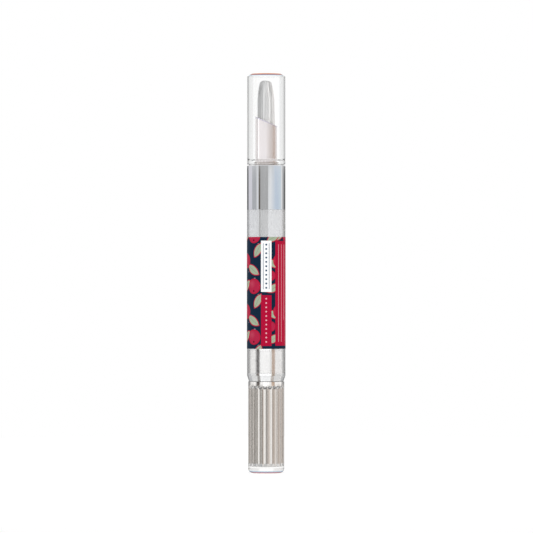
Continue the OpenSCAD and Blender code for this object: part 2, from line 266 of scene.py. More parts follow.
class Look(Nodes):
    """A material under construction; place is in millimetres in the part's frame."""

    def __init__(self, name):
        self.mat = bpy.data.materials.new(name)
        self.mat.use_nodes = True
        super().__init__(self.mat.node_tree)
        self.out = self.add("ShaderNodeOutputMaterial")
        self.shader = self.add("ShaderNodeBsdfPrincipled")
        self.join(self.shader.outputs[0], self.out.inputs["Surface"])
        self.place = self.scaled(self.add("ShaderNodeTexCoord").outputs["Object"], 1 / MM)

    def set(self, **values):
        for key, value in values.items():
            self.join(value, self.shader.inputs[key.replace("_", " ")])

    def noise(self, scale, stretch=(1, 1, 1), detail=3.0, rough=0.55):
        """Noise whose grain is drawn out where the stretch is under 1."""
        node = self.add("ShaderNodeTexNoise")
        self.join(self.vector("MULTIPLY", self.place, stretch), node.inputs["Vector"])
        for key, value in (("Scale", scale), ("Detail", detail), ("Roughness", rough)):
            self.join(value, node.inputs[key])
        return node.outputs[0]

    def spread(self, noise, low=0.0, high=1.0):
        """The middle of a noise spread over a range."""
        return self.range(noise, 0.3, 0.7, low, high)

    def cloud(self, a, b):
        """Two colours in soft clouds."""
        return self.mix(self.noise(0.35, (1, 1, 0.35), 2.0), a, b)

    def streaks(self, low, high):
        """Roughness in fine streaks along the pen."""
        return self.spread(self.noise(2.4, (1, 1, 0.06), 3.0), low, high)

    def bump(self, height, strength, distance):
        node = self.add("ShaderNodeBump")
        for key, value in (("Height", height), ("Strength", strength), ("Distance", distance * MM)):
            self.join(value, node.inputs[key])
        self.join(node.outputs[0], self.shader.inputs["Normal"])


CLEAR_IOR, MOULDED_IOR = 1.47, 1.49


def feed_plastic():
    """Clear plastic, a little cloudy and wavy."""
    look = Look("feed_plastic")
    colour = (0.95, 0.96, 0.97)
    look.set(
        Base_Color=look.cloud(scaled(colour, 0.985), colour),
        Roughness=look.streaks(0.05, 0.11),
        Transmission_Weight=0.8,
        IOR=CLEAR_IOR,
    )
    look.bump(look.noise(0.5, (1, 1, 0.2), 1.0), 0.05, 0.03)
    return look.mat


def painted_fringe_plastic(name, clear, stops, reach, slope, dense):
    """Clear plastic whose bevelled rim has a painted coloured fringe with painted dark bands, standing for light split
    and bent at the edge.

    The stops give the rim's colour by height; dense gives two heights and how opaque it is at each.
    The rim is what lies outside a cone, where radius plus slope times height is past reach, and only
    its outer faces are coloured."""
    look = Look(name)
    x, y, z = look.split(look.place)
    rim = look.math("GREATER_THAN", look.plus(look.hypot(x, y), look.times(z, slope)), reach)
    rim = look.times(rim, look.minus(1.0, look.add("ShaderNodeNewGeometry").outputs["Backfacing"]))
    # Painted fringe: the rim's colour by height stands for light split and bent at the bevel, not for a colour of the
    # plastic
    look.set(
        Base_Color=look.mix(rim, look.cloud(scaled(clear, 0.985), clear), look.ramp(z, stops)),
        Roughness=look.streaks(0.0, 0.001),
        Transmission_Weight=look.minus(1.0, look.times(rim, look.range(z, *dense))),
        IOR=CLEAR_IOR,
    )
    return look.mat


def moulded(name, colour, rough):
    """Matt moulded plastic with a fine grain."""
    look = Look(name)
    fine = look.noise(9.0, (1, 1, 1), 4.0, 0.65)
    look.set(
        Base_Color=look.mix(look.spread(look.noise(0.6, (1, 1, 0.5), 2.0)), scaled(colour, 0.96), colour),
        Roughness=look.spread(fine, rough, rough + 0.12),
        Subsurface_Weight=0.12,
        Subsurface_Scale=0.001,
        IOR=MOULDED_IOR,
    )
    look.bump(fine, 0.25, 0.02)
    return look.mat


def pearl(name, colour, metallic, rough):
    """Moulded plastic with a metallic pearl in it."""
    look = Look(name)
    look.set(
        Base_Color=look.mix(look.spread(look.noise(0.5, (1, 1, 0.3), 2.0)), scaled(colour, 0.96), colour),
        Metallic=metallic,
        Roughness=look.spread(look.noise(3.0, (1, 1, 0.04), 3.0), rough, rough * 1.5),
        IOR=MOULDED_IOR,
    )
    return look.mat


def milky():
    """Milky plastic, whiter over the collar's skirt and the reservoir than at the tail.

    It mirrors at its tapered end and in a fine band under the film's lower edge."""
    look = Look("milky_plastic")
    z = look.split(look.place)[2]
    taper = look.range(z, 33.72, 33.82, 0.75, 0.0)
    band = look.times(look.range(z, 41.72, 41.78), look.range(z, 42.15, LABEL_Z0, 0.6, 0.0))
    look.set(
        Base_Color=look.cloud((0.90, 0.905, 0.91), (0.93, 0.935, 0.94)),
        Roughness=look.streaks(0.01, 0.03),
        Metallic=look.plus(taper, band),
        Transmission_Weight=look.range(z, 50.0, 70.0, 0.90, 0.66),
        IOR=CLEAR_IOR,
    )
    return look.mat


def polished_metal():
    """Bright metal with a faint haze and fine lines."""
    look = Look("polished_metal")
    look.set(
        Base_Color=look.mix(look.noise(0.25, (1, 1, 1), 2.0), (0.87, 0.88, 0.90), (0.92, 0.93, 0.94)),
        Metallic=1.0,
        Roughness=look.range(look.noise(1.2, (1, 1, 0.05), 3.0), 0.3, 0.75, 0.025, 0.07),
    )
    look.bump(look.noise(0.6, (1, 1, 0.1), 1.0), 0.04, 0.01)
    return look.mat


def nylon():
    """Pale strands with painted shade and a painted highlight round the tuft: darker towards -X, lighter at the front
    and a bright streak just towards +X; each strand with its own tone, and paler at the tip.
    """
    look = Look("brush_nylon")
    x, y, z = look.split(look.place)
    # Painted shade and highlight by azimuth: darker towards -X, lighter at the front, a painted bright streak at 18 to
    # 23 degrees towards +X
    painted_shade_and_streak = look.ramp(look.math("DEGREES", look.azimuth(x, y)), (
        (-180, 0.78), (-120, 0.72), (-80, 0.56), (-50, 0.60), (-30, 0.79), (-12, 1.0), (2, 1.0), (13, 0.93),
        (18, 1.3), (23, 1.3), (28, 0.86), (48, 0.94), (80, 0.92), (120, 0.90), (180, 0.78)))
    strands = look.range(look.noise(1.7, (1, 1, 0.015), 3.0, 0.7), 0.38, 0.62, 0.80, 1.10)
    along = look.noise(1.1, (1, 1, 0.08), 2.0)
    pale = look.plus(look.range(along, 0.4, 0.7, 0, 0.15), look.range(z, 131.2, 133.4, 0, 0.5))
    look.set(
        Base_Color=look.mix(pale, look.scaled(painted_shade_and_streak, strands), 0.98),
        Roughness=look.spread(along, 0.28, 0.45),
        IOR=1.5,
    )
    return look.mat


def nib_plastic():
    """Pearly plastic, with a painted reflection of the collar darkening the flange and a painted grey-lilac shade line
    just under the cut rim.
    """
    look = Look("nib_plastic")
    x, _, z = look.split(look.place)
    body = look.mix(look.noise(0.25, (1, 1, 0.4), 2.0), (0.82, 0.77, 0.76), (0.87, 0.84, 0.85))
    # Painted reflection: the flange below the tube is darker and browner, as if it mirrored the collar
    body = look.mix(look.range(z, 105.5, 105.75), (0.52, 0.48, 0.46), body)
    # Painted shade: a grey-lilac line in a band just under the slanted cut rim
    below = look.minus(RIM_Z, look.plus(z, look.times(x, RIM_SLOPE)))
    rim = look.times(look.range(below, 0.10, 0.16), look.range(below, 0.38, 0.46, 1.0, 0.0))
    look.set(
        Base_Color=look.mix(look.times(rim, 0.8), body, (0.46, 0.45, 0.60)),
        Metallic=0.6,
        Roughness=look.spread(look.noise(1.6, (1, 1, 0.05), 2.0), 0.07, 0.12),
        IOR=1.45,
    )
    look.bump(look.noise(0.8, (1, 1, 0.2), 2.0), 0.04, 0.03)
    return look.mat


def rubber():
    """Black seal rubber."""
    look = Look("seal_rubber")
    fine = look.noise(6.0, (1, 1, 1), 4.0, 0.7)
    look.set(
        Base_Color=look.mix(fine, (0.012, 0.012, 0.014), (0.03, 0.03, 0.032)),
        Roughness=look.spread(fine, 0.5, 0.75),
    )
    look.bump(fine, 0.3, 0.03)
    return look.mat


def printed_film():
    """Navy film with round berries, leaves and dots in a repeat, and three plain panels with rules."""
    look = Look("printed_film")
    x, y, z = look.split(look.place)
    u = look.times(look.azimuth(x, y), LABEL_R)  # millimetres round the film from the front
    join = look.add("ShaderNodeCombineXYZ")
    look.join(u, join.inputs[0])
    look.join(look.minus(z, LABEL_Z0), join.inputs[1])
    flat = join.outputs[0]
    repeat = (TAU * LABEL_R / 3, 17.2, 1.0)
    half, less = scaled(repeat, 0.5), scaled(repeat, -0.5)

    def local(cx, cy, angle=0.0):
        """Places round the middle of a motif, in each repeat."""
        near = look.vector("WRAP", look.vector("SUBTRACT", flat, (cx, cy, 0)), half, less)
        if not angle:
            return near
        node = look.add("ShaderNodeVectorRotate", rotation_type="Z_AXIS")
        look.join(near, node.inputs["Vector"])
        look.join(math.radians(angle), node.inputs["Angle"])
        return node.outputs[0]

    def away(place, cx=0.0, cy=0.0):
        return look.vector("DISTANCE", place, (cx, cy, 0))

    def inside(distance, limit):
        return look.math("LESS_THAN", distance, limit)

    def outside(value, low, high):
        """How far a value lies outside a range, under 0 within it."""
        return look.minus(look.math("ABSOLUTE", look.minus(value, (low + high) / 2)), (high - low) / 2)

    def panel(u0, u1, z0, z1):
        return inside(look.math("MAXIMUM", outside(u, u0, u1), outside(z, z0, z1)), 0.0)

    def dots(z0, z1, r):
        """A line of dots up the front."""
        pitch = 1.46
        wave = look.math("WRAP", look.minus(z, z0), pitch / 2, -pitch / 2)
        return look.times(inside(look.hypot(u, wave), r), panel(-r, r, z0 - r, z1 + r))

    colour = look.mix(look.noise(1.6), (0.0035, 0.017, 0.040), (0.0055, 0.022, 0.050))
    for cx, cy, r in ((2.2, 3.4, 0.34), (5.3, 14.9, 0.42), (9.6, 6.6, 0.36), (12.6, 12.7, 0.40),
                      (6.4, 8.9, 0.22), (3.2, 11.4, 0.20), (11.0, 1.2, 0.24), (0.4, 8.2, 0.26)):
        colour = look.mix(look.times(inside(away(local(cx, cy)), r), 0.55), colour, (0.30, 0.33, 0.36))
    # A leaf is what two large circles share, with an edge, a body and a rib
    for cx, cy, angle, size in ((-5.0, 9.6, 34, 3.5), (-8.8, 4.2, -38, 3.4), (-3.0, 16.2, -62, 3.2),
                                (2.9, 11.6, 20, 3.3), (2.6, 3.4, -30, 3.2)):
        p = local(cx, cy, angle)
        far = look.math("MAXIMUM", away(p, 0, -size * 0.72), away(p, 0, size * 0.72))
        colour = look.mix(inside(far, size * 1.16), colour, (0.46, 0.012, 0.045))
        colour = look.mix(inside(far, size * 1.07), colour, (0.36, 0.43, 0.31))
        rib = look.times(inside(look.math("ABSOLUTE", look.split(p)[1]), 0.09), inside(far, size * 1.02))
        colour = look.mix(look.times(rib, 0.7), colour, (0.20, 0.27, 0.17))
    # A berry has a rim, a body, a soft light on its shoulder and a small dark end
    for cx, cy, r in ((-4.6, 4.0, 2.6), (-8.9, 12.6, 2.5), (1.6, 7.6, 1.7)):
        p = local(cx, cy)
        edge = away(p)
        colour = look.mix(inside(edge, r), colour, (0.46, 0.008, 0.035))
        colour = look.mix(look.times(inside(edge, r * 0.86), 0.75), colour, (0.42, 0.022, 0.070))
        glow = look.range(away(p, -r * 0.30, r * 0.30), 0.0, r * 0.6, 0.25, 0.0)
        colour = look.mix(glow, colour, (0.70, 0.16, 0.22))
        colour = look.mix(inside(away(p, 0, -r * 0.62), r * 0.13), colour, (0.10, 0.005, 0.015))

    crimson, white, ink = (0.43, 0.003, 0.036), (0.93, 0.94, 0.95), (0.05, 0.10, 0.16)
    front = 1.81  # half the width of the two panels at the front
    colour = look.mix(panel(-front, front, 61.5, 78.85), colour, white)
    for cu in (-1.0, 1.0):
        colour = look.mix(panel(cu - 0.09, cu + 0.09, 62.4, 77.95), colour, ink)
    colour = look.mix(dots(62.9, 77.5, 0.34), colour, ink)
    colour = look.mix(panel(-front, front, 43.2, 60.4), colour, crimson)
    colour = look.mix(dots(44.6, 59.2, 0.28), colour, (0.80, 0.42, 0.48))
    colour = look.mix(panel(3.2, 14.2, 43.28, 78.75), colour, crimson)
    for k, low in enumerate((44.6, 44.6, 52.0, 44.6, 44.6, 44.6, 58.0)):
        cu = 4.5 + 1.35 * k
        rule = look.times(panel(cu - 0.11, cu + 0.11, low, 77.6), 0.6)
        colour = look.mix(rule, colour, (0.86, 0.50, 0.56))
    fine = look.noise(5.0)
    look.set(
        Base_Color=colour,
        Roughness=look.spread(fine, 0.36, 0.46),
        IOR=1.46,
        Specular_IOR_Level=0.06,
    )
    look.bump(fine, 0.05, 0.01)
    return look.mat


CLEAR_CAP, CLEAR_KNOB = (0.985, 0.99, 0.99), (0.97, 0.965, 0.955)
# Painted fringes by height on the cap's and the knob's bevelled rims, standing for light split and bent at the edge:
# orange, painted dark bands, cyan, then clear
CAP_PAINTED_FRINGE = [
    (134.5, CLEAR_CAP), (134.72, (0.90, 0.93, 0.94)), (134.91, (0.60, 0.82, 0.94)), (134.98, (0.15, 0.15, 0.28)),
    (135.18, (0.17, 0.13, 0.22)), (135.25, (0.62, 0.19, 0.08)), (CAP_TOP_Z, (0.70, 0.28, 0.14))]
KNOB_PAINTED_FRINGE = [
    (0.0, (0.72, 0.28, 0.22)), (0.28, (0.64, 0.25, 0.22)), (0.36, (0.28, 0.30, 0.46)), (0.58, (0.36, 0.44, 0.58)),
    (0.72, (0.66, 0.86, 0.95)), (1.05, CLEAR_KNOB)]
CAP_SLOPE, CAP_RIM_R = 1.5, 6.36  # the cone that leaves the cap's rim outside, and its radius at the bevel's foot
KNOB_RIM_R = 3.9  # the knob's rim lies outside a plain cylinder
CAP = painted_fringe_plastic("clear_cap", CLEAR_CAP, CAP_PAINTED_FRINGE, CAP_RIM_R + CAP_SLOPE * BEVEL_Z, CAP_SLOPE,
                      (134.5, 134.66, 0.0, 0.92))
KNOB = painted_fringe_plastic("clear_knob", CLEAR_KNOB, KNOB_PAINTED_FRINGE, KNOB_RIM_R, 0.0, (0.60, 0.85, 0.9, 0.0))
WHITE = moulded("white_plastic", (0.86, 0.855, 0.845), 0.38)
SCREW = moulded("screw_plastic", (0.82, 0.81, 0.78), 0.36)
SPRING = moulded("spring_plastic", (0.78, 0.74, 0.64), 0.30)
PISTON = moulded("piston_plastic", (0.88, 0.88, 0.88), 0.46)
CORE = pearl("core_plastic", (0.93, 0.925, 0.92), 0.98, 0.012)
NUT = pearl("white_plastic_pearl", (0.91, 0.90, 0.89), 0.88, 0.022)
MILKY, FEED, METAL, NYLON = milky(), feed_plastic(), polished_metal(), nylon()
NIB, RUBBER, FILM = nib_plastic(), rubber(), printed_film()

# These CAD nodes are shown as they are
for node, material in (("drive_nut", NUT), ("neck_plug", WHITE), ("neck_o_ring", RUBBER), ("feed_tube", FEED),
                       ("click_spring", SPRING)):
    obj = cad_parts[node]
    obj.data.materials.clear()
    obj.data.materials.append(material)


# ---------------------------------------------------------------- cap

turned("cap_clear", [
    (0, 135.15, 0), (4.52, 135.15, 0), (5.25, 134.64, 0), (5.25, 94.3, 0), (5.5, 94.05, 0), (5.7, 94.05, 0),
    (5.8, 94.25, 0), (5.8, 104.8, 0.1), (6.1, 104.8, 0.1), (BODY_R, 104.82, 0.35), (BODY_R, 106.1, 0.1),
    (6.32, 106.35, 0.06), (BODY_R, 106.6, 0.1), (BODY_R, BEVEL_Z, 0.1), (5.0, CAP_TOP_Z, 0.1), (0, CAP_TOP_Z, 0)],
    CAP, "cap", ["cap_shell"])

# ---------------------------------------------------------------- collar

turned("collar_polished", [
    (4.78, SKIRT_Z, 0), (5.05, SKIRT_Z, 0), (5.28, 79.25, 0), (5.28, SHOULDER_Z, 0), (BODY_R - 0.01, SHOULDER_Z, 0),
    (BODY_R, SHOULDER_Z + 0.01, 0), (BODY_R, 104.3, 0.12), (6.38, COLLAR_Z, 0.06), (5.9, COLLAR_Z, 0),
    (5.85, 104.4, 0), (5.85, 92.8, 0), (4.78, 92.8, 0)],
    METAL, "barrel", ["collar_ring"], loop=True)

# ---------------------------------------------------------------- barrel

turned("barrel_milky", [
    (3.98, TAIL_Z, 0), (5.7, TAIL_Z, 0), (5.74, 31.14, 0), (5.88, 31.14, 0.04), (6.02, 31.6, 0.2),
    (6.42, 32.85, 0.4), (BODY_R, 33.08, 0.1), (BODY_R, SHOULDER_Z - 0.01, 0), (BODY_R - 0.01, SHOULDER_Z, 0),
    (SNUG_R, SHOULDER_Z, 0), (SNUG_R, SKIRT_Z, 0), (BORE_R, 78.9, 0), (BORE_R, 42.9, 0), (SNUG_R, 42.8, 0),
    (SNUG_R, 33.8, 0), (BORE_R, 33.7, 0), (BORE_R, FLOOR_Z, 0), (3.98, FLOOR_Z, 0)],
    MILKY, "barrel", ["barrel_tube"], loop=True)

# A flat band over the nut's round snap bead
turned("nut_snap_band", [
    (5.0, SNAP_Z0, 0), (SNAP_R - 0.01, SNAP_Z0, 0), (SNAP_R, SNAP_Z0 + 0.01, 0), (SNAP_R, SNAP_Z1 - 0.01, 0),
    (SNAP_R - 0.01, SNAP_Z1, 0), (5.0, SNAP_Z1, 0)], NUT, "barrel", loop=True)


def film():
    """The film: a thin shell round the barrel with a seam at the back."""
    half_seam = 0.2 / BODY_R
    steps = 240
    section = (
        (BODY_R + 0.005, LABEL_Z0), (LABEL_R - 0.01, LABEL_Z0), (LABEL_R, LABEL_Z0 + 0.02),
        (LABEL_R, LABEL_Z0 + 0.05), (LABEL_R, LABEL_Z1 - 0.05), (LABEL_R, LABEL_Z1 - 0.02),
        (LABEL_R - 0.01, LABEL_Z1), (BODY_R + 0.005, LABEL_Z1))
    rings = []
    for k in range(steps + 1):
        a = math.pi / 2 + half_seam + (TAU - 2 * half_seam) * k / steps
        rings.append([(r * math.cos(a), r * math.sin(a), z) for r, z in section])
    verts, faces = skin(rings)
    count = len(section)
    faces += [list(range(count))[::-1], [len(verts) - count + k for k in range(count)]]
    piece("film_printed", verts, faces, FILM, "barrel", ["label_wrap"])


film()

# ---------------------------------------------------------------- nib


def nib():
    """The slanted nib: flange and stem turned, the tube's rim cut on the slant."""
    bore, feed_hole = 3.1, 0.87
    outer = fillet([(feed_hole, 96.45, 0), (3.3, 96.45, 0), (3.5, 96.65, 0), (3.5, COLLAR_Z - 0.02, 0),
                    (3.55, COLLAR_Z + 0.01, 0), (4.2, COLLAR_Z + 0.01, 0.05), (4.2, 105.55, 0.2),
                    (3.72, ROOT_Z, 0.1), (NIB_R, 106.4, 0)])
    rings = [ring(r, z) for r, z in outer]
    for r, lift in ((NIB_R, -0.15), (NIB_R, -0.12), (3.68, -0.05), (3.62, 0.0), (3.18, 0.0), (3.12, -0.05),
                    (bore, -0.12), (bore, -0.15)):
        rings.append([(x, y, RIM_Z - x * RIM_SLOPE + lift) for x, y, _ in ring(r, RIM_Z)])
    rings += [ring(bore, 107.2), ring(bore, ROOT_Z), ring(feed_hole, ROOT_Z)]
    verts, faces = skin(rings, loop=True)
    piece("nib_slanted", verts, faces, NIB, "barrel", ["nib_sleeve"])


nib()

# ---------------------------------------------------------------- brush


def brush():
    """A tuft of tapered strands that draw together and fray at the tip, on a fused root."""
    rng = random.Random(5)
    verts, faces = [], []
    sides, steps = 5, 9
    root_z, top_z = 106.9, 133.45
    pitch, rings_of = 0.2475, 12
    narrows, tapers = 0.72, 0.85  # shares of the height where the tuft and each strand begin to close
    for j in range(2, rings_of + 1):
        for i in range(6 * j):
            a = TAU * i / (6 * j) + 0.3 * j + rng.uniform(-0.02, 0.02)
            rad = pitch * j + rng.uniform(-0.015, 0.015)
            share = j / rings_of
            end = top_z - 0.12 - 0.6 * share ** 4 - rng.random() ** 2 * 0.9
            sway, phase = rng.uniform(0.01, 0.05), rng.uniform(0, TAU)
            thick = rng.uniform(0.085, 0.105)
            tip = rng.uniform(0.02, 0.045)
            start = len(verts)
            for s in range(steps + 1):
                t = 1 - (1 - s / steps) ** 1.3
                z = root_z + (end - root_z) * t
                h = (z - root_z) / (top_z - root_z)
                r = rad * (1 - 0.085 * h - 0.36 * max(0.0, (h - narrows) / (1 - narrows)) ** 2)
                lean = -0.22 * h * h
                wob = sway * math.sin(3.1 * h + phase) * h
                cx, cy = r * math.cos(a) + lean + wob, r * math.sin(a) + wob * 0.7
                if t < tapers:
                    w = thick * (1 - 0.25 * h)
                else:
                    close = (t - tapers) / (1 - tapers)
                    w = thick * 0.75 * (1 - close) + tip * close
                verts += [(cx + w * math.cos(b), cy + w * math.sin(b), z)
                          for b in (TAU * k / sides + a for k in range(sides))]
            for s in range(steps):
                for k in range(sides):
                    n = (k + 1) % sides
                    p, q = start + s * sides, start + (s + 1) * sides
                    faces.append([p + k, p + n, q + n, q + k])
            faces.append([start + k for k in range(sides)][::-1])
            faces.append([start + steps * sides + k for k in range(sides)])
    base = len(verts)
    more, round_faces = skin([ring(r, z) for r, z in fillet([
        (0.5, ROOT_Z, 0), (3.08, ROOT_Z, 0), (3.08, 106.95, 0.1), (2.9, 107.1, 0), (0.5, 107.1, 0)])], loop=True)
    verts += more
    faces += [[base + k for k in f] for f in round_faces]
    obj = piece("brush_tuft", verts, faces, NYLON, "barrel", ["bristles"], TUFT_SHARP)
    # A tuft reflects light as one soft body, so its strands' normals lean towards the tuft's own
    normals = []
    for vertex in obj.data.vertices:
        x, y, _ = vertex.co
        reach = math.hypot(x, y) or 1.0
        n = vertex.normal
        lean = 0.65 if vertex.index < base else 0.0
        normals.append((n.x * (1 - lean) + x / reach * lean, n.y * (1 - lean) + y / reach * lean, n.z * (1 - lean)))
    obj.data.normals_split_custom_set_from_vertices(normals)


brush()

# ---------------------------------------------------------------- knob


FLUTES, LAND_R, FLUTE_LOW = 18, 4.4, 4.2
FLUTE_RING = (LAND_R ** 2 - FLUTE_LOW ** 2) / (2 * (LAND_R * math.cos(0.94 * math.pi / FLUTES) - FLUTE_LOW))
FLUTE_OFFSETS = [math.radians(d) for d in (-9.4, *range(-9, 10), 9.4)]
FIRST_FLUTE = math.radians(15 - 90)  # 15 degrees from the front
FLUTE_ANGLES = [FIRST_FLUTE + TAU * k / FLUTES + d for k in range(FLUTES) for d in FLUTE_OFFSETS]

# The flutes run out in a curve at both ends: shares of their depth and heights
FLUTE_ENDS = [
    (0.0, 2.22), (0.3, 2.27), (0.6, 2.42), (0.85, 2.72), (1.0, 3.2), (1.0, 3.23), (1.0, 28.37), (1.0, 28.4),
    (0.85, 28.88), (0.6, 29.18), (0.3, 29.33), (0.0, 29.38)]


def fluted(share, z, inset=0.0):
    """A ring of shallow round flutes in a round core, each as deep as a share of its full depth."""
    radii = []
    for d in FLUTE_OFFSETS:
        hollow = FLUTE_RING * math.cos(d) - math.sqrt((FLUTE_RING - FLUTE_LOW) ** 2 - (FLUTE_RING * math.sin(d)) ** 2)
        radii.append(LAND_R - inset - max(0.0, LAND_R - hollow) * share)
    return outline(radii * FLUTES, FLUTE_ANGLES, z)


def knob():
    """The clear knob, moulded close round the fluted core."""
    low, high, socket, wide = 2.22, 29.4, 5.12, 6.1
    outer = fillet([(0, 0, 0), (4.9, 0, 0.3), (5.6, 0.28, 0.4), (5.97, 0.75, 0.4), (wide, 1.35, 0.4),
                    (wide, 31.0, 0.06), (6.02, 31.1, 0.04), (5.16, 31.1, 0), (socket, 31.06, 0)])
    rings = [ring(r, z, FLUTE_ANGLES) for r, z in outer + [(socket, high)]]
    rings += [fluted(share, z, 0.02) for share, z in FLUTE_ENDS[::-1]]
    rings.append([(0, 0, low)])
    verts, faces = skin(rings)
    piece("knob_clear", verts, faces, KNOB, "knob", ["knob_shell"], FINE_SHARP)


def core():
    """The fluted core in the knob, its flange and neck inside the barrel and its hub, with a flatted bore."""
    low, high = 2.2, 35.6

    def hub(r, flat, z):
        return outline([flatted(r, flat, a) for a in FLUTE_ANGLES], FLUTE_ANGLES, z)

    rings = [hub(2.08, 1.53, high), hub(2.08, 1.53, low), ring(4.1, low, FLUTE_ANGLES)]
    rings += [fluted(share, z) for share, z in FLUTE_ENDS]
    rings += [ring(r, z, FLUTE_ANGLES) for r, z in held([
        (5.0, 29.42), (5.13, 29.55), (5.13, 31.04), (5.1, 31.08), (3.9, 31.1), (3.9, 32.6), (4.8, 32.6), (4.9, 32.7),
        (4.9, 33.5), (4.8, 33.6)])]
    rings += [hub(2.68, 2.466, 33.6), hub(2.68, 2.466, 35.55), hub(2.63, 2.42, high)]
    verts, faces = skin(rings, loop=True)
    piece("core_fluted", verts, faces, CORE, "knob", ["drive_sleeve"], FINE_SHARP)


knob()
core()

# ---------------------------------------------------------------- screw and piston


def screw():
    """The lead screw: a two-millimetre right-hand thread with two flats and a round head."""
    low, high, head, step = 2.5, 43.9, 45.1, 0.1
    crest, root, flat, pitch = 1.97, 1.55, 1.43, 2.0
    count = 72
    angles = [TAU * k / count for k in range(count)]

    def thread(a, z):
        p = ((z - low) / pitch - a / TAU) % 1.0
        rise = max(0.0, min(1.0, (p - 0.30) / 0.15, (0.90 - p) / 0.15))
        return flatted(root + (crest - root) * rise, flat, a)

    rings = [[(0, 0, low)]]
    for k in range(int((high - low) / step) + 1):
        z = low + step * k
        rings.append(outline([thread(a, z) for a in angles], angles, z))
    rings += [ring(r, z, angles) for r, z in (
        (1.4, high + 0.05), (1.4, head - 1.0), (2.5, head - 1.0), (2.58, head - 0.9), (2.58, head - 0.1), (2.5, head),
        (0, head))]
    verts, faces = skin(rings)
    piece("screw_threaded", verts, faces, SCREW, "screw", ["lead_screw"], FINE_SHARP)


screw()

turned("piston_lipped", [
    (0, 43.82, 0), (2.2, 43.82, 0), (2.2, 43.2, 0), (4.6, 43.2, 0.1), (4.79, 43.2, 0), (5.2, 43.45, 0.1),
    (5.2, 44.25, 0.1), (4.79, 44.5, 0.1), (4.79, 48.4, 0.1), (5.2, 48.65, 0.1), (5.2, 49.68, 0.02), (5.05, 49.7, 0.02),
    (4.55, 49.05, 0.2), (0, 49.05, 0)], PISTON, "piston", ["piston"])

# ---------------------------------------------------------------- studio


